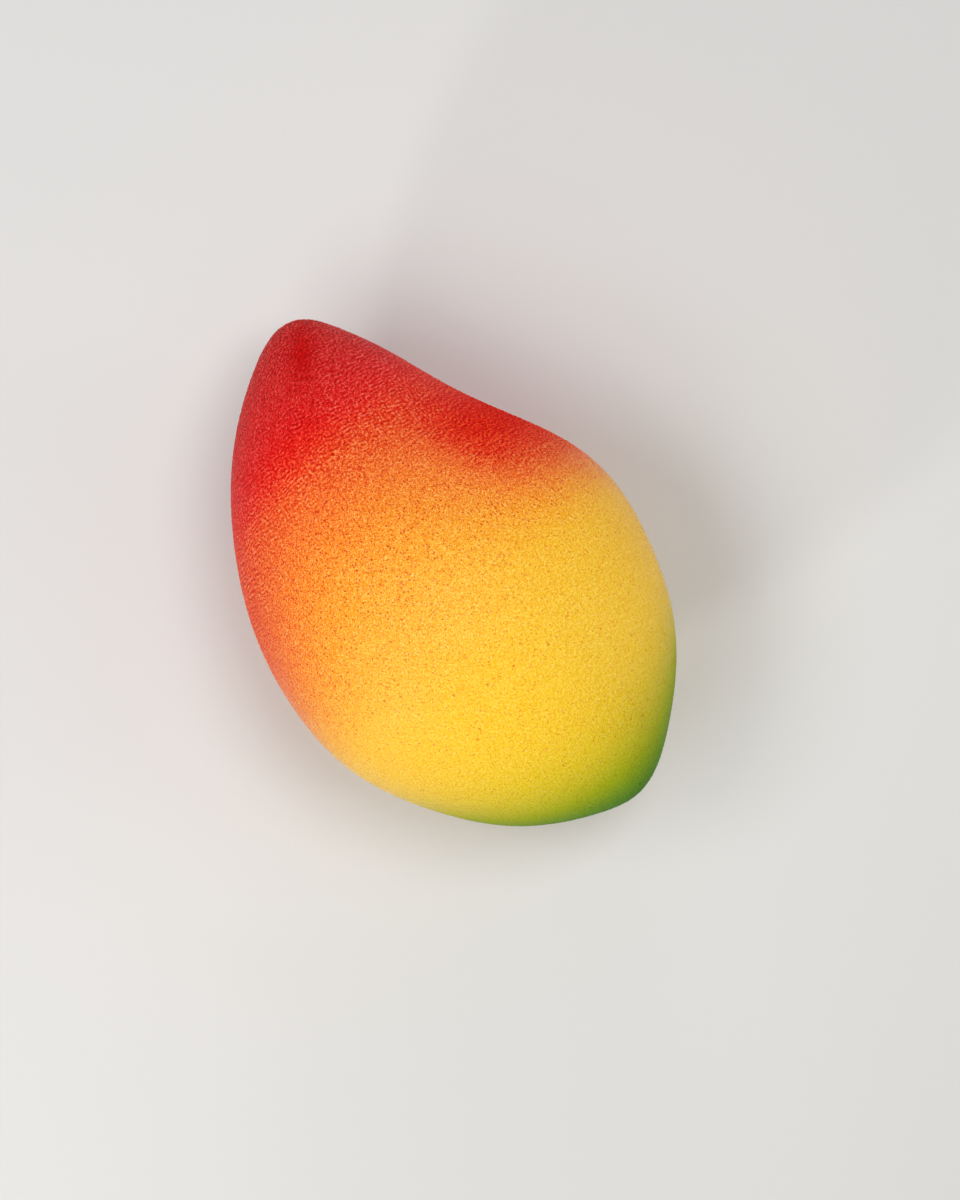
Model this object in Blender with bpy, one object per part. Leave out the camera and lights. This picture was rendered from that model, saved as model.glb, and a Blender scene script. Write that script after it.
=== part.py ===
"""A mango-shaped make-up sponge: one moulded piece of soft foam, lying on its broad side.

Units are metres, +Z up. The tip points along -X and the blunt end along +X. The shoulder side, with the
hollow under the tip, faces +Y, and the full belly faces -Y. The origin is at the middle of the sponge's
outline, on the surface that it lies on.
"""

import bmesh
import bpy
import numpy as np
from mathutils import Vector

MM = 0.001

# The long axis runs from the tip to the blunt end. An angle of 0 is the tip and of pi the blunt end, and
# the distance along the axis is LENGTH / 2 * (1 - cos(angle)).
LENGTH = 62.0 * MM

# Reach of the outline to each side of the long axis, as seen from above, every 20 degrees of the angle.
# It is the reach divided by the sine of the angle, so that both ends come out round.
SHOULDER_REACH = np.array([12.0, 10.6, 10.7, 12.1, 16.2, 18.6, 18.5, 17.0, 14.7, 14.4]) * MM
BELLY_REACH = np.array([12.0, 14.2, 18.1, 20.5, 22.3, 23.4, 23.3, 22.1, 18.8, 14.4]) * MM

# Height of a cross-section as a share of its width, at the tip and at the blunt end.
HEIGHT_SHARE_TIP = 0.98
HEIGHT_SHARE_BLUNT = 0.90

# How far the tip end hangs below the blunt end, end to end, because the sponge lies on its belly.
TIP_DROP = 3.0 * MM

# The small flat spot under the sponge: how deep its own weight and the mould press it, and over what
# height the flat runs softly into the round side.
FLAT_DEPTH = 1.3 * MM
FLAT_EDGE = 0.5 * MM

# Points of the surface: rings from tip to blunt end, and points round each ring.
RINGS = 48
POINTS_ROUND = 60

FOAM_ROUGHNESS = 0.85
# Where each dye colour lies between the tip, 0, and the blunt end, 1.
DYE_COLOURS = {
    0.00: (0.60, 0.016, 0.021),
    0.22: (0.83, 0.070, 0.018),
    0.45: (0.93, 0.300, 0.022),
    0.70: (0.95, 0.560, 0.030),
    0.92: (0.70, 0.520, 0.020),
    1.00: (0.12, 0.250, 0.060),
}


def clear_scene():
    """Removes whatever the file opens with."""
    for obj in list(bpy.data.objects):
        bpy.data.objects.remove(obj)


def collection_named(name):
    """Returns a new collection in the scene."""
    made = bpy.data.collections.new(name)
    bpy.context.scene.collection.children.link(made)
    return made


def through_stations(values, angle):
    """A smooth even curve through values at equal angles from 0 to pi: a cosine series with a term for each."""
    orders = np.arange(len(values))
    stations = np.pi * orders / orders[-1]
    terms = np.linalg.solve(np.cos(np.outer(stations, orders)), values)
    return np.cos(np.multiply.outer(angle, orders)) @ terms


def surface_of(directions):
    """The round body's points, before it is pressed flat, for unit directions from inside the sponge.

    Each cross-section is an ellipse. Its middle bends off the long axis, halfway between the two
    reaches, and rises from the tip to the blunt end.
    """
    along, across, up = directions.T
    angle = np.arccos(np.clip(-along, -1.0, 1.0))
    shoulder = through_stations(SHOULDER_REACH, angle)
    belly = through_stations(BELLY_REACH, angle)
    half_width = (shoulder + belly) / 2
    height_share = HEIGHT_SHARE_TIP + (HEIGHT_SHARE_BLUNT - HEIGHT_SHARE_TIP) * (1 + along) / 2
    return np.stack(
        [
            along * LENGTH / 2,
            across * half_width + np.sin(angle) * (shoulder - belly) / 2,
            up * half_width * height_share + along * TIP_DROP / 2,
        ],
        axis=1,
    )


def pressed_flat(points):
    """The points set down on z = 0 with the lowest FLAT_DEPTH pressed into a flat spot with a soft edge."""
    middle = (points.min(axis=0) + points.max(axis=0)) / 2
    height = points[:, 2] - points[:, 2].min() - FLAT_DEPTH
    soft = (height + FLAT_EDGE) ** 2 / (4 * FLAT_EDGE)
    height = np.where(height > FLAT_EDGE, height, np.where(height < -FLAT_EDGE, 0.0, soft))
    return np.stack([points[:, 0] - middle[0], points[:, 1] - middle[1], height], axis=1)


def foam_material():
    """Matt dyed foam: a colour ramp from the red tip through orange and yellow to the green blunt end."""
    material = bpy.data.materials.new("dyed_foam")
    material.use_nodes = True
    nodes, links = material.node_tree.nodes, material.node_tree.links
    shader = nodes["Principled BSDF"]
    shader.inputs["Roughness"].default_value = FOAM_ROUGHNESS
    shader.inputs["Metallic"].default_value = 0.0
    coordinates = nodes.new("ShaderNodeTexCoord")
    place = nodes.new("ShaderNodeSeparateXYZ")
    share = nodes.new("ShaderNodeMapRange")
    share.inputs["From Min"].default_value = -LENGTH / 2
    share.inputs["From Max"].default_value = LENGTH / 2
    ramp = nodes.new("ShaderNodeValToRGB")
    stops = ramp.color_ramp.elements
    while len(stops) < len(DYE_COLOURS):
        stops.new(1.0)
    for stop, (position, colour) in zip(stops, DYE_COLOURS.items()):
        stop.position = position
        stop.color = (*colour, 1.0)
    links.new(coordinates.outputs["Object"], place.inputs["Vector"])
    links.new(place.outputs["X"], share.inputs["Value"])
    links.new(share.outputs["Result"], ramp.inputs["Fac"])
    links.new(ramp.outputs["Color"], shader.inputs["Base Color"])
    return material


def make_sponge(parts):
    """The sponge: a sphere with its poles at the tip and the blunt end, drawn out to the sponge's surface."""
    shape = bmesh.new()
    bmesh.ops.create_uvsphere(shape, u_segments=POINTS_ROUND, v_segments=RINGS, radius=1.0)
    # The sphere's poles are on Z, so a turn of the three axes puts them on X.
    directions = np.array([(v.co.z, v.co.x, v.co.y) for v in shape.verts])
    directions /= np.linalg.norm(directions, axis=1)[:, None]
    for vertex, place in zip(shape.verts, pressed_flat(surface_of(directions))):
        vertex.co = Vector(place)
    mesh = bpy.data.meshes.new("foam_sponge")
    shape.to_mesh(mesh)
    shape.free()
    mesh.shade_smooth()
    mesh.materials.append(foam_material())
    sponge = bpy.data.objects.new("foam_sponge", mesh)
    parts.objects.link(sponge)
    return sponge


def main():
    clear_scene()
    make_sponge(collection_named("mango_makeup_sponge"))


main()
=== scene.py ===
"""Looks of the mango-shaped make-up sponge: one soft foam piece, sprayed red, yellow and green."""

import math

import bpy
import numpy as np
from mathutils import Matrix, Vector


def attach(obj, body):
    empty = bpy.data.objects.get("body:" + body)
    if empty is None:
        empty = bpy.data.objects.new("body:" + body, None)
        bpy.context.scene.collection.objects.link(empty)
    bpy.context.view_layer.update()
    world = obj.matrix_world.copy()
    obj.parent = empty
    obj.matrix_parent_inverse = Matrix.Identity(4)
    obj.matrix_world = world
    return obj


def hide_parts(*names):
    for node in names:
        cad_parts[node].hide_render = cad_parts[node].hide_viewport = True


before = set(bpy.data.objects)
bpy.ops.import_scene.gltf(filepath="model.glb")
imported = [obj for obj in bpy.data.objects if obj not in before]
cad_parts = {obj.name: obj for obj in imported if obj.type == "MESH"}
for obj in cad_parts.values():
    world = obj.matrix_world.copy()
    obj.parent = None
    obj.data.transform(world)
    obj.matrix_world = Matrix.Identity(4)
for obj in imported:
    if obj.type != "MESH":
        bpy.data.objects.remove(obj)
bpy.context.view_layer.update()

MM = 0.001

# The sponge's form, as in the solid: the outline's reach on each side of the long axis every 20 degrees of
# the angle from tip to blunt end, divided by that angle's sine, and the height of a section to its width.
LENGTH = 62.0 * MM
SHOULDER_REACH = np.array([12.0, 10.6, 10.7, 12.1, 16.2, 18.6, 18.5, 17.0, 14.7, 14.4]) * MM
BELLY_REACH = np.array([12.0, 14.2, 18.1, 20.5, 22.3, 23.4, 23.3, 22.1, 18.8, 14.4]) * MM
HEIGHT_SHARE_TIP = 0.98
HEIGHT_SHARE_BLUNT = 0.90
TIP_DROP = 3.0 * MM
FLAT_DEPTH = 1.3 * MM
FLAT_EDGE = 0.5 * MM

# Squares of the foam's mesh along the long axis, and across and up: about 0.12 mm each.
CELLS_LONG = 400
CELLS_ACROSS = 264
# The margin round each side of the box-shaped grid on its map, as a share of that side's part.
MAP_MARGIN = 0.01
# The least length of a section's direction, so that nothing is divided by 0 at the two ends.
LEAST_SECTION = 1e-6

# The skin's waves: their length, how many are added up, how far their lengths spread, and the seed of each
# field. The lean draws wrinkles out round the sponge. The slow bend carries all of them sideways.
WRINKLE_LENGTH = 0.41 * MM
WRINKLE_LEAN = 3.0
WRINKLE_SEED = 11
PEBBLE_LENGTH = 0.39 * MM
PEBBLE_SEED = 12
SKIN_WAVES = 80
BEND_LENGTH = 3.0 * MM
BEND_REACH = 0.11 * MM
BEND_SEEDS = (21, 22, 23)
BEND_WAVES = 12
NO_LEAN = 1.0
WAVE_SPREAD = (0.8, 1.25)
# The red dye at which wrinkles begin and are full, and the share of the normal that points along the sponge
# at which they are gone and are whole.
WRINKLED_RED = (0.15, 0.9)
END_ON = (0.85, 0.45)
# How high the waves stand, how much higher as wrinkles, and how far the whole skin is sunk to make room.
PEBBLE_HEIGHT = 0.014 * MM
WRINKLE_EXTRA = 0.012 * MM
SKIN_SINK = 0.02 * MM
# Open pinholes: the spacing of their places, their radius as a share of it, and their depth.
PINHOLE_SPACING = 1.6 * MM
PINHOLE_RADIUS = 0.10
PINHOLE_DEPTH = 0.20 * MM
PINHOLE_SEED = 77
# The relief dies away below this height, so that the flat spot stays flat.
CALM_HEIGHT = 0.8 * MM

# How a cube's place is mixed into one number, and how each next number is drawn from the last.
CUBE_MIX = np.array([73856093, 19349663, 83492791])
DRAW_FACTOR = 1103515245
DRAW_ADDS = 12345
DRAW_KEEPS = 0x7FFFFFFF
DRAW_SHIFT = 13
DRAW_LOW_BITS = 0xFFFF
# A distance in spacings that is beyond every bubble.
BEYOND = 9.0

# The sprayed passes. Places are millimetres from the middle, towards the blunt end, or the place across a
# section, from -1 on the belly's edge to 1 on the shoulder's. Of a pair of limits, the first is where a
# pass begins and the second where it is full.
RED_AT_NECK = 0.61
NECK = -14.0
RED_FADE = 9.0
BLUSH = 0.035
BLUSH_MIDDLE = 3.0
BLUSH_LENGTH = 9.0
BLUSH_SIDES = (0.5, -0.2)
HOOD = 1.3
HOOD_LIMITS = (-15.5, -23.5)
HOOD_SLANT = 1.5
BELLY_PASS = 0.59
BELLY_LIMITS = (12.0, -8.0)
SHOULDER_PASS = 0.68
SHOULDER_LIMITS = (5.0, -7.0)
HOLLOW_PASS = 0.75
HOLLOW_SIDES = (0.45, 0.80)
HOLLOW_MIDDLE = -9.5
HOLLOW_LENGTH = 5.1
SPOT_PASS = 1.4
SPOT_MIDDLE = (-27.0, 2.4)
SPOT_SLANT = 0.5
SPOT_LENGTH = 3.0
SPOT_WIDTH = 1.9
MOST_RED = 5.3
GREEN_AT_END = 1.67
GREEN_FADE = 2.82
GREEN_LEAST_HEIGHT = 0.3
GREEN_LIMITS = (12.0, 24.0)
# Where the passes leave the foam matt: fully by this much green, and partly along the hood's border.
GREEN_FOR_MATT = 0.5
BORDER_MATT = 0.7
BORDER_MIDDLE = -19.5
BORDER_LENGTH = 3.0
BORDER_SIDE = -0.25
BORDER_SIDES = (0.7, 0.1)

# The foam's own yellow, and how strongly a full measure of each dye takes away red, green and blue light.
FOAM_YELLOW = (0.93, 0.60, 0.020, 1.0)
RED_DYE_TAKES = (0.085, 2.50, 1.60)
GREEN_DYE_TAKES = (1.75, 0.66, 8.00)
# What small blotches of purer yellow let through, and the pale colour of painted sheen and painted glints.
PURE_YELLOW = (1.0, 0.97, 0.25, 1.0)
PAINTED_SHINE_COLOUR = (1.0, 0.90, 0.80, 1.0)

# In the finish, a pair of shares is for plain foam and for fully wrinkled foam, unless said otherwise.
# The fine grain's size in millimetres, the factor that spreads its noise to about -2 to 2, and how much of
# the crests and of the grain goes into rough, the height that the colours follow, with its highest value.
GRAIN_SIZE = 0.13
GRAIN_SPREAD = 7.5
CREST_SHARE = (0.30, 0.58)
GRAIN_SHARE = (0.95, 0.80)
MOST_ROUGH = 2.2
# Scattered dots: the spacing and the radius of each kind in millimetres, how much of the radius is the
# dot's even core, and the draw at which a dot reaches its full strength.
PITS = (0.37, 0.16)
DARK_SPECKS = (1.20, 0.16)
PURE_BLOTCHES = (3.0, 0.50)
# The pale flecks are painted glints.
GLINT_FLECKS = (4.2, 0.13)
DOT_CORE = 0.2
DOT_FULL_DRAW = 0.9
# The red dye at which pits begin to deepen and are deepest, and their strength at each.
PIT_RED = (0.03, 0.25)
PIT_STRENGTH = (0.35, 1.0)
# How crests thin the red dye, and how much more of it pits, hollows, specks and pinholes hold.
CREST_THINS = 0.42
PIT_THICKENS = 0.45
HOLLOW_HOLDS = 0.022
PIT_HOLDS = 0.50
SPECK_HOLDS = 0.40
PINHOLE_HOLDS = 0.5
# Painted light and shade: the colour on level skin and at most, painted lighter on crests and darker in
# holes.
PAINTED_CREST_LIGHT = (0.045, 0.120)
PAINTED_LEVEL_LIGHT = 0.99
PAINTED_MOST_LIGHT = 1.05
PAINTED_PIT_SHADE = 0.26
PAINTED_PINHOLE_SHADE = 0.20
# Purer blotches, and pale flecks painted as glints, with the red dye at which they are gone and are whole.
BLOTCH_SHARE = 0.7
GLINT_FLECK_SHARE = 0.7
GLINT_FLECK_RED = (0.4, 0.1)
# How much pale painted sheen the crests get where the foam is glossy and where it is matt.
PAINTED_SHEEN_SHARES = (0.078, 0.008)
# Gloss: the shader's roughness, what full matt adds to it, and the specular level. Then the bump's height.
ROUGHNESS = (0.14, 0.47)
MATT_ADDS = 0.45
FOAM_SPECULAR = 0.12
BUMP_SHARE = (0.6, 1.3)
BUMP_HEIGHT = 0.014 * MM

# The photograph's view from straight above: the height that it shows at the level of the sponge's widest
# outline, where its middle lies, and how far it is turned.
PHOTO_HEIGHT_SHOWN = 126.3 * MM
PHOTO_MIDDLE = (4.7 * MM, 1.9 * MM)
PHOTO_TURN = math.radians(53.07)
RIM_LEVEL = 19.0 * MM
CAMERA_DISTANCE = 500.0 * MM
CAMERA_SENSOR = 36.0
CAMERA_CLIP = 10.0 * MM

# The soft lamps: where each stands in the photograph (right, up), its height angle in degrees, and its
# distance from the sponge, width and power in metres and watts.
LAMPS = {
    "front_left": ((-0.71, -0.71), 60, 0.38, 0.18, 0.31),
    "left": ((-1.0, 0.0), 60, 0.38, 0.15, 0.335),
    "low_front_left": ((-0.62, -0.79), 20, 0.38, 0.06, 0.42),
    "low_right": ((1.0, 0.0), 14, 0.50, 0.20, 0.44),
    "low_back": ((0.0, 1.0), 14, 0.50, 0.20, 0.41),
    "overhead": ((0.8, 0.6), 76, 0.50, 0.20, 0.84),
}
LAMPS_AIM_AT = 20.0 * MM
ROOM_LIGHT = 0.29

# The floor: half its width in metres, its colour and its roughness.
FLOOR_HALF = 1.5
FLOOR_COLOUR = (0.645, 0.636, 0.622, 1.0)
FLOOR_ROUGHNESS = 0.5


def smooth_step(low, high, value):
    """0 below low, 1 above high, and a smooth S between them, 3t^2 - 2t^3."""
    t = np.clip((value - low) / (high - low), 0.0, 1.0)
    return t * t * (3.0 - 2.0 * t)


def soft_pass(value, middle, width):
    """1 at the middle and fading to both sides, exp(-t^2) with t the distance in widths."""
    return np.exp(-(((value - middle) / width) ** 2))


def through_stations(values, angle):
    """A smooth curve through values at equal angles from 0 to pi: a cosine series with a term for each."""
    orders = np.arange(len(values))
    stations = np.pi * orders / orders[-1]
    terms = np.linalg.solve(np.cos(np.outer(stations, orders)), values)
    return sum(term * np.cos(order * angle) for order, term in zip(orders, terms))


def box_grid():
    """Unit directions on a box-shaped grid, the squares between them, and each corner's place on a map.

    Each of the six sides is a grid of two parameters. A direction is (tan a, tan b, tan c), with each angle
    from -45 to 45 degrees and one of them at its limit on each side, brought to length 1.
    """
    counts = np.array([CELLS_LONG, CELLS_ACROSS, CELLS_ACROSS])
    used = 1.0 - 2.0 * MAP_MARGIN
    lattice, squares, maps = [], [], []
    start = 0
    for side in range(6):
        axis, far = side % 3, side // 3
        first, second = (axis + 1) % 3, (axis + 2) % 3
        a, b = np.meshgrid(np.arange(counts[first] + 1), np.arange(counts[second] + 1), indexing="ij")
        points = np.empty(a.shape + (3,), int)
        points[..., axis] = far * counts[axis]
        points[..., first] = a
        points[..., second] = b
        index = start + np.arange(a.size).reshape(a.shape)
        ring = [index[:-1, :-1], index[1:, :-1], index[1:, 1:], index[:-1, 1:]]
        squares.append(np.stack(ring if far else ring[::-1], axis=-1).reshape(-1, 4))
        across = (axis + MAP_MARGIN + used * a / counts[first]) / 3
        up = (far + MAP_MARGIN + used * b / counts[second]) / 2
        maps.append(np.stack([across, up], axis=-1).reshape(-1, 2))
        lattice.append(points.reshape(-1, 3))
        start += a.size
    lattice, squares, maps = np.concatenate(lattice), np.concatenate(squares), np.concatenate(maps)
    keys = lattice @ np.array([1, counts.max() + 1, (counts.max() + 1) ** 2])
    kept, places = np.unique(keys, return_index=True)
    welded = np.searchsorted(kept, keys)
    directions = np.tan((lattice[places] / counts * 2 - 1) * np.pi / 4)
    directions /= np.linalg.norm(directions, axis=1)[:, None]
    return directions, welded[squares], maps[squares]


def body_of_sponge(directions):
    """The sponge's smooth skin for unit directions, with each point's height and side within its section.

    Along x it is the direction's x times half the length. Each section is an ellipse about a spine that
    bends halfway between the two reaches and rises to the blunt end. It is set down on z = 0, and the
    lowest part is pressed flat by (z + edge)^2 / (4 edge) near z = 0.
    """
    along, across, up = directions.T
    angle = np.arccos(np.clip(-along, -1.0, 1.0))
    shoulder = through_stations(SHOULDER_REACH, angle)
    belly = through_stations(BELLY_REACH, angle)
    half_width = (shoulder + belly) / 2
    height_share = HEIGHT_SHARE_TIP + (HEIGHT_SHARE_BLUNT - HEIGHT_SHARE_TIP) * (1 + along) / 2
    points = np.stack(
        [
            along * LENGTH / 2,
            across * half_width + np.sin(angle) * (shoulder - belly) / 2,
            up * half_width * height_share + along * TIP_DROP / 2,
        ],
        axis=1,
    )
    points[:, :2] -= (points[:, :2].min(axis=0) + points[:, :2].max(axis=0)) / 2
    level = points[:, 2] - points[:, 2].min() - FLAT_DEPTH
    soft = (level + FLAT_EDGE) ** 2 / (4 * FLAT_EDGE)
    points[:, 2] = np.where(level > FLAT_EDGE, level, np.where(level < -FLAT_EDGE, 0.0, soft))
    section = np.maximum(np.hypot(across, up), LEAST_SECTION)
    return points, np.abs(up) / section, across / section


def wave_field(points, wavelength, lean, count, seed):
    """An even wrinkled field, about -2 to 2: a sum of cosine waves of about one wavelength, from all sides.

    lean divides each direction's y and z, so that with more than 1 most crests run round the sponge.
    """
    draw = np.random.default_rng(seed)
    field = np.zeros(len(points), np.float32)
    scaled = (points / wavelength).astype(np.float32)
    for _ in range(count):
        way = draw.normal(size=3) / np.array([1.0, lean, lean])
        way *= 2 * np.pi * draw.uniform(*WAVE_SPREAD) / np.linalg.norm(way)
        field += np.cos(scaled @ way.astype(np.float32) + draw.uniform(0, 2 * np.pi))
    return field * math.sqrt(2.0 / count)


def nearest_bubble(points, spacing, seed):
    """Distance to the nearest of many scattered bubble centres, in spacings.

    Space is cut into cubes of one spacing, each with one centre at a place drawn from its number, and the
    least distance over a cube and its 26 neighbours is kept.
    """
    scaled = points / spacing
    cube = np.floor(scaled).astype(np.int64)
    nearest = np.full(len(points), BEYOND)
    for step in np.ndindex(3, 3, 3):
        cell = cube + np.array(step) - 1
        number = (cell * CUBE_MIX).sum(axis=1) ^ seed
        offset = np.empty((len(points), 3))
        for axis in range(3):
            number = (number * DRAW_FACTOR + DRAW_ADDS) & DRAW_KEEPS
            number ^= number >> DRAW_SHIFT
            offset[:, axis] = (number & DRAW_LOW_BITS) / (DRAW_LOW_BITS + 1.0)
        nearest = np.minimum(nearest, np.linalg.norm(cell + offset - scaled, axis=1))
    return nearest


def dye_passes(points, height, side):
    """How much red and green dye each point holds, and how matt the last passes have left it.

    Red falls off as exp(-x / fade) from the tip, with a faint blush over the middle, and a deep hood
    covers the tip up to a border that slants with side. A pass along each edge adds to it, as the fourth
    power of the place across on the belly side and as the square on the shoulder side, and soft passes,
    exp(-t^2), fill the shoulder's hollow and a spot near the tip. Green falls off as
    exp(-t * height / fade) with the distance t from the blunt end, so it reaches furthest round the edge.
    The foam is matt where the hollow's, the spot's and the green pass lie, and less so along the border.
    """
    x, y = points[:, 0] / MM, points[:, 1] / MM
    belly, shoulder = np.maximum(-side, 0.0), np.maximum(side, 0.0)
    hollow = smooth_step(*HOLLOW_SIDES, shoulder) * soft_pass(x, HOLLOW_MIDDLE, HOLLOW_LENGTH)
    beside_spot = y + SPOT_SLANT * (x - SPOT_MIDDLE[0])
    spot = soft_pass(x, SPOT_MIDDLE[0], SPOT_LENGTH) * soft_pass(beside_spot, SPOT_MIDDLE[1], SPOT_WIDTH)

    red = RED_AT_NECK * np.exp(-(x - NECK) / RED_FADE)
    red += BLUSH * soft_pass(x, BLUSH_MIDDLE, BLUSH_LENGTH) * smooth_step(*BLUSH_SIDES, side)
    red += HOOD * smooth_step(*HOOD_LIMITS, x + HOOD_SLANT * side)
    red += BELLY_PASS * belly**4 * smooth_step(*BELLY_LIMITS, x)
    red += SHOULDER_PASS * shoulder**2 * smooth_step(*SHOULDER_LIMITS, x)
    red += HOLLOW_PASS * hollow + SPOT_PASS * spot

    from_end = LENGTH / 2 / MM - x
    reach = np.hypot(height, GREEN_LEAST_HEIGHT) / GREEN_FADE
    green = GREEN_AT_END * np.exp(-from_end * reach) * smooth_step(*GREEN_LIMITS, x)

    near_border = smooth_step(*BORDER_SIDES, np.abs(side - BORDER_SIDE))
    border = soft_pass(x, BORDER_MIDDLE, BORDER_LENGTH) * near_border
    matt = hollow + green / GREEN_FOR_MATT + spot + BORDER_MATT * border
    return np.clip(red, 0.0, MOST_RED), green, np.minimum(matt, 1.0)


def relief_of_skin(points, outward, red):
    """How far the skin stands out from its smooth form, and the crests and pinholes that this is made of.

    It is height times crest, less depth times pinhole, less the sink. A crest is a field of wrinkles drawn
    out round the sponge where there is red dye, and one of even pebbles elsewhere and on both ends. Both
    are read at points carried sideways by a slow field. A pinhole is a cone about a bubble's centre.
    """
    bend = [wave_field(points, BEND_LENGTH, NO_LEAN, BEND_WAVES, seed) for seed in BEND_SEEDS]
    bent = points + BEND_REACH * np.stack(bend, axis=1)
    wrinkle = wave_field(bent, WRINKLE_LENGTH, WRINKLE_LEAN, SKIN_WAVES, WRINKLE_SEED)
    pebble = wave_field(bent, PEBBLE_LENGTH, NO_LEAN, SKIN_WAVES, PEBBLE_SEED)
    amount = smooth_step(*WRINKLED_RED, red)
    drawn = amount * smooth_step(*END_ON, np.abs(outward[:, 0]))
    crest = wrinkle * drawn + pebble * (1.0 - drawn)
    bubble = nearest_bubble(points, PINHOLE_SPACING, PINHOLE_SEED)
    pinhole = np.clip(1.0 - bubble / PINHOLE_RADIUS, 0.0, 1.0)
    relief = (PEBBLE_HEIGHT + WRINKLE_EXTRA * amount) * crest - PINHOLE_DEPTH * pinhole - SKIN_SINK
    return relief, crest, pinhole


def make_foam():
    """The sponge: its smooth skin moved along its normals by the relief, and the dye stored on it.

    The relief is eased to nothing at the floor, and nothing goes below it.
    """
    directions, squares, maps = box_grid()
    points, height, side = body_of_sponge(directions)
    mesh = bpy.data.meshes.new("foam_body")
    fill_mesh(mesh, points, squares)
    outward = np.empty(len(points) * 3, np.float32)
    mesh.vertex_normals.foreach_get("vector", outward)
    outward = outward.reshape(-1, 3)

    red, green, matt = dye_passes(points, height, side)
    relief, crest, pinhole = relief_of_skin(points, outward, red)
    calm = smooth_step(0.0, CALM_HEIGHT, points[:, 2])
    points = points + outward * (relief * calm)[:, None]
    points[:, 2] = np.maximum(points[:, 2], 0.0)
    mesh.vertices.foreach_set("co", points.astype(np.float32).ravel())
    mesh.update()

    stored = {"red_dye": red, "green_dye": green, "crest": crest, "pinhole": pinhole, "matt": matt}
    for name, values in stored.items():
        mesh.attributes.new(name, "FLOAT", "POINT").data.foreach_set("value", values.astype(np.float32))
    layer = mesh.uv_layers.new(name="OFBake")
    layer.uv.foreach_set("vector", maps.astype(np.float32).ravel())
    mesh.shade_smooth()
    return new_piece("foam_body", mesh)


def fill_mesh(mesh, points, squares):
    """Puts points and four-sided faces into an empty mesh."""
    mesh.vertices.add(len(points))
    mesh.vertices.foreach_set("co", points.astype(np.float32).ravel())
    mesh.loops.add(squares.size)
    mesh.loops.foreach_set("vertex_index", squares.astype(np.int32).ravel())
    mesh.polygons.add(len(squares))
    mesh.polygons.foreach_set("loop_start", np.arange(0, squares.size, 4, dtype=np.int32))
    mesh.update(calc_edges=True)
    mesh.validate()


def new_piece(name, mesh):
    """An object at the origin with this mesh, put into the scene."""
    piece = bpy.data.objects.new(name, mesh)
    bpy.context.scene.collection.objects.link(piece)
    return piece


class Shader:
    """A material's node tree, with short ways to add nodes to it."""

    def __init__(self, name):
        self.material = bpy.data.materials.new(name)
        self.material.use_nodes = True
        self.nodes = self.material.node_tree.nodes
        self.links = self.material.node_tree.links
        self.surface = self.nodes["Principled BSDF"]

    def add(self, kind, inputs=(), **settings):
        """A new node. inputs are (socket, value or output) pairs."""
        node = self.nodes.new("ShaderNode" + kind)
        for key, value in settings.items():
            setattr(node, key, value)
        for socket, value in dict(inputs).items():
            self.set(node.inputs[socket], value)
        return node

    def set(self, socket, value):
        """Links an output to the socket, or sets a plain value on it."""
        if isinstance(value, bpy.types.NodeSocket):
            self.links.new(value, socket)
        else:
            socket.default_value = value

    def attribute(self, name):
        """A number stored on the mesh."""
        return self.add("Attribute", attribute_name=name).outputs["Fac"]

    def math(self, operation, *values):
        """One arithmetic step on up to three values."""
        return self.add("Math", dict(enumerate(values)), operation=operation).outputs[0]

    def times(self, first, second):
        """The product of two values."""
        return self.math("MULTIPLY", first, second)

    def plus(self, amount, value, share):
        """amount plus share of value."""
        return self.math("MULTIPLY_ADD", value, share, amount)

    def between(self, share, none, full):
        """none where share is 0, full where it is 1, and evenly between them."""
        return self.plus(none, share, full - none)

    def ramp(self, value, low, high):
        """0 below low, 1 above high, and a smooth S between them."""
        node = self.add("MapRange", interpolation_type="SMOOTHSTEP")
        self.set(node.inputs["Value"], value)
        self.set(node.inputs["From Min"], low)
        self.set(node.inputs["From Max"], high)
        return node.outputs["Result"]

    def grain(self, place, size):
        """Noise about 0, mostly -2 to 2, in grains of size millimetres."""
        noise = self.add("TexNoise", {"Vector": place, "Scale": 1.0 / (size * MM), "Detail": 1.0})
        return self.times(self.math("SUBTRACT", noise.outputs["Fac"], 0.5), GRAIN_SPREAD)

    def dots(self, place, spacing, radius):
        """Scattered round dots, 0 outside them and a different value from 0 to about 1 in each middle.

        Both sizes are millimetres.
        """
        cells = self.add("TexVoronoi", {"Vector": place, "Scale": 1.0 / (spacing * MM)})
        inward = self.times(cells.outputs["Distance"], -spacing)
        inside = self.ramp(inward, -radius, -radius * DOT_CORE)
        return self.times(inside, self.ramp(cells.outputs["Color"], 0.0, DOT_FULL_DRAW))

    def dyed(self, colour, dye, takes):
        """colour behind a layer of dye, which lets exp(-takes * dye) of each of the three colours through."""
        clear = [math.exp(-share) for share in takes]
        through = self.add("VectorMath", {0: clear, 1: dye}, operation="POWER").outputs[0]
        return self.mix(1.0, colour, through, "MULTIPLY")

    def mix(self, share, first, second, blend_type="MIX"):
        """Two colours mixed, or with blend_type MULTIPLY multiplied, by share."""
        node = self.add("Mix", data_type="RGBA", blend_type=blend_type)
        self.set(node.inputs["Factor"], share)
        self.set(node.inputs["A"], first)
        self.set(node.inputs["B"], second)
        return node.outputs["Result"]


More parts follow.
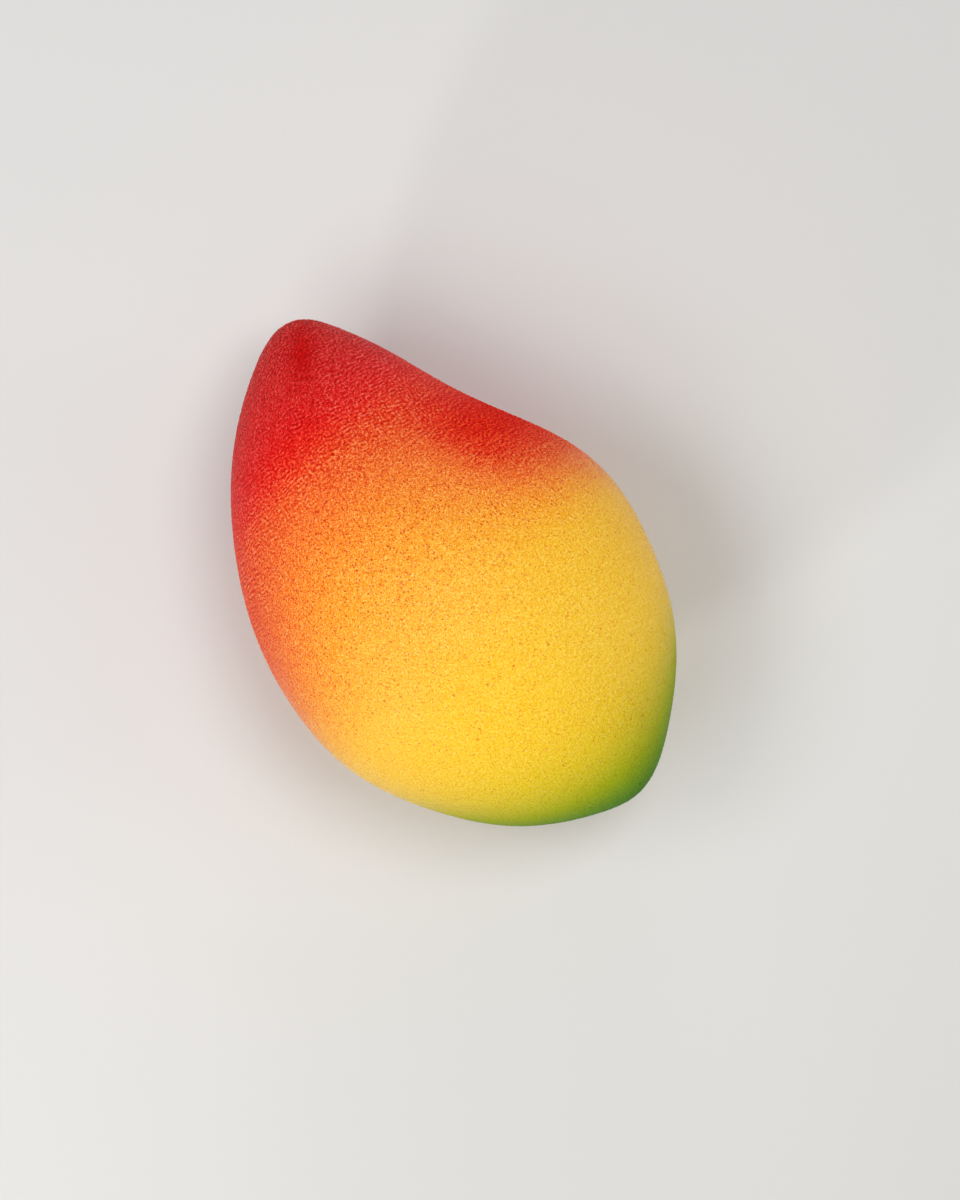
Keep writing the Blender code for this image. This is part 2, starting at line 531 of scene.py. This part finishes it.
def foam_finish():
    """Dyed foam: yellow foam behind the two dyes, which lie thicker in the hollows of its skin.

    rough is a share of the skin's crests plus a share of fine grain. Where it is high it thins the red dye
    by exp(-rough), paints the colour lighter and, most where the foam is glossy, paints a pale sheen on it.
    Pits, specks and pinholes hold more red dye, and pits and pinholes get painted shade. Plain yellow foam
    is glossy, with purer blotches and a few pale flecks painted as glints, and foam with wrinkles or a last
    pass on it is more matt. The grain alone lifts the bump.
    """
    shader = Shader("dyed_foam")
    red, green = shader.attribute("red_dye"), shader.attribute("green_dye")
    crest, pinhole = shader.attribute("crest"), shader.attribute("pinhole")
    matt = shader.attribute("matt")
    place = shader.add("TexCoord").outputs["Object"]
    wrinkled = shader.ramp(red, *WRINKLED_RED)

    grain = shader.grain(place, GRAIN_SIZE)
    of_crest = shader.times(crest, shader.between(wrinkled, *CREST_SHARE))
    of_grain = shader.times(grain, shader.between(wrinkled, *GRAIN_SHARE))
    rough = shader.math("MINIMUM", shader.math("ADD", of_crest, of_grain), MOST_ROUGH)
    pit_strength = shader.between(shader.ramp(red, *PIT_RED), *PIT_STRENGTH)
    pits = shader.times(shader.dots(place, *PITS), pit_strength)

    thinned = shader.math("EXPONENT", shader.times(rough, -CREST_THINS))
    soaked = shader.times(red, shader.plus(thinned, pits, PIT_THICKENS))
    soaked = shader.plus(soaked, rough, -HOLLOW_HOLDS)
    soaked = shader.plus(soaked, pits, PIT_HOLDS)
    soaked = shader.plus(soaked, shader.dots(place, *DARK_SPECKS), SPECK_HOLDS)
    soaked = shader.plus(soaked, pinhole, PINHOLE_HOLDS)
    soaked = shader.math("MAXIMUM", soaked, 0.0)
    colour = shader.dyed(FOAM_YELLOW, soaked, RED_DYE_TAKES)
    colour = shader.dyed(colour, green, GREEN_DYE_TAKES)
    blotches = shader.times(shader.dots(place, *PURE_BLOTCHES), BLOTCH_SHARE)
    colour = shader.mix(blotches, colour, shader.mix(1.0, colour, PURE_YELLOW, "MULTIPLY"))

    # Painted light on crests and painted shade in pits and pinholes, multiplied into the colour.
    painted_crest_light = shader.times(rough, shader.between(wrinkled, *PAINTED_CREST_LIGHT))
    light = shader.math("MINIMUM", shader.math("ADD", painted_crest_light, PAINTED_LEVEL_LIGHT), PAINTED_MOST_LIGHT)
    light = shader.plus(light, pits, -PAINTED_PIT_SHADE)
    light = shader.plus(light, pinhole, -PAINTED_PINHOLE_SHADE)
    colour = shader.mix(1.0, colour, light, "MULTIPLY")
    # Pale flecks painted as glints, where there is little red dye.
    glint_fleck_share = shader.times(shader.ramp(red, *GLINT_FLECK_RED), GLINT_FLECK_SHARE)
    flecks = shader.times(shader.dots(place, *GLINT_FLECKS), glint_fleck_share)
    # Pale painted sheen on crests, mixed into the colour together with the painted glints.
    painted_sheen = shader.times(rough, shader.between(matt, *PAINTED_SHEEN_SHARES))
    colour = shader.mix(shader.math("MAXIMUM", painted_sheen, flecks), colour, PAINTED_SHINE_COLOUR)
    shader.set(shader.surface.inputs["Base Color"], colour)

    roughness = shader.plus(shader.between(wrinkled, *ROUGHNESS), matt, MATT_ADDS)
    shader.set(shader.surface.inputs["Roughness"], roughness)
    shader.surface.inputs["Specular IOR Level"].default_value = FOAM_SPECULAR
    lift = shader.times(grain, shader.between(wrinkled, *BUMP_SHARE))
    bump = shader.add("Bump", {"Height": lift, "Strength": 1.0, "Distance": BUMP_HEIGHT})
    shader.set(shader.surface.inputs["Normal"], bump.outputs["Normal"])
    return shader.material


def make_floor():
    """A plain pale floor: one square at z = 0."""
    half = FLOOR_HALF
    corners = [(-half, -half, 0), (half, -half, 0), (half, half, 0), (-half, half, 0)]
    floor_mesh = bpy.data.meshes.new("pale_floor")
    floor_mesh.from_pydata(corners, [], [(0, 1, 2, 3)])
    floor = new_piece("pale_floor", floor_mesh)
    shader = Shader("pale_surface")
    shader.surface.inputs["Base Color"].default_value = FLOOR_COLOUR
    shader.surface.inputs["Roughness"].default_value = FLOOR_ROUGHNESS
    floor_mesh.materials.append(shader.material)


def aim_light(name, image_way, elevation, distance, size, power):
    """An area light towards image_way in the photograph (right, up), raised by elevation.

    It stands at distance from a point inside the sponge, and is aimed at that point.
    """
    cos_turn, sin_turn = math.cos(PHOTO_TURN), math.sin(PHOTO_TURN)
    turn = np.array([[cos_turn, -sin_turn], [sin_turn, cos_turn]])
    flat = turn @ (np.array(image_way) / np.hypot(*image_way))
    rise = math.radians(elevation)
    way = np.array([flat[0] * math.cos(rise), flat[1] * math.cos(rise), math.sin(rise)])
    lamp = bpy.data.lights.new(name, "AREA")
    lamp.shape = "DISK"
    lamp.size = size
    lamp.energy = power
    holder = bpy.data.objects.new(name, lamp)
    holder.location = way * distance + np.array([*PHOTO_MIDDLE, LAMPS_AIM_AT])
    holder.rotation_euler = Vector(way).to_track_quat("Z", "Y").to_euler()
    bpy.context.scene.collection.objects.link(holder)


def light_and_look():
    """An even pale room and the soft lamps round it, and plain colours in the picture."""
    world = bpy.data.worlds.new("soft_room")
    world.use_nodes = True
    room = world.node_tree.nodes["Background"]
    room.inputs["Color"].default_value = (1.0, 1.0, 1.0, 1.0)
    room.inputs["Strength"].default_value = ROOM_LIGHT
    bpy.context.scene.world = world
    for name, (way, elevation, distance, size, power) in LAMPS.items():
        aim_light(name, way, elevation, distance, size, power)
    bpy.context.scene.view_settings.view_transform = "Standard"


def place_camera():
    """The camera straight above and turned as the photograph is.

    Its lens is sensor times distance over the height that the photograph shows.
    """
    camera = bpy.data.cameras.new("photo_camera")
    camera.sensor_fit = "VERTICAL"
    camera.sensor_height = CAMERA_SENSOR
    camera.lens = CAMERA_SENSOR * CAMERA_DISTANCE / PHOTO_HEIGHT_SHOWN
    camera.clip_start = CAMERA_CLIP
    holder = bpy.data.objects.new("photo_camera", camera)
    holder.location = (*PHOTO_MIDDLE, RIM_LEVEL + CAMERA_DISTANCE)
    holder.rotation_euler = (0.0, 0.0, PHOTO_TURN)
    bpy.context.scene.collection.objects.link(holder)
    bpy.context.scene.camera = holder


place_camera()
light_and_look()
make_floor()
foam = make_foam()
foam.data.materials.append(foam_finish())
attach(foam, "root")
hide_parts("foam_sponge")
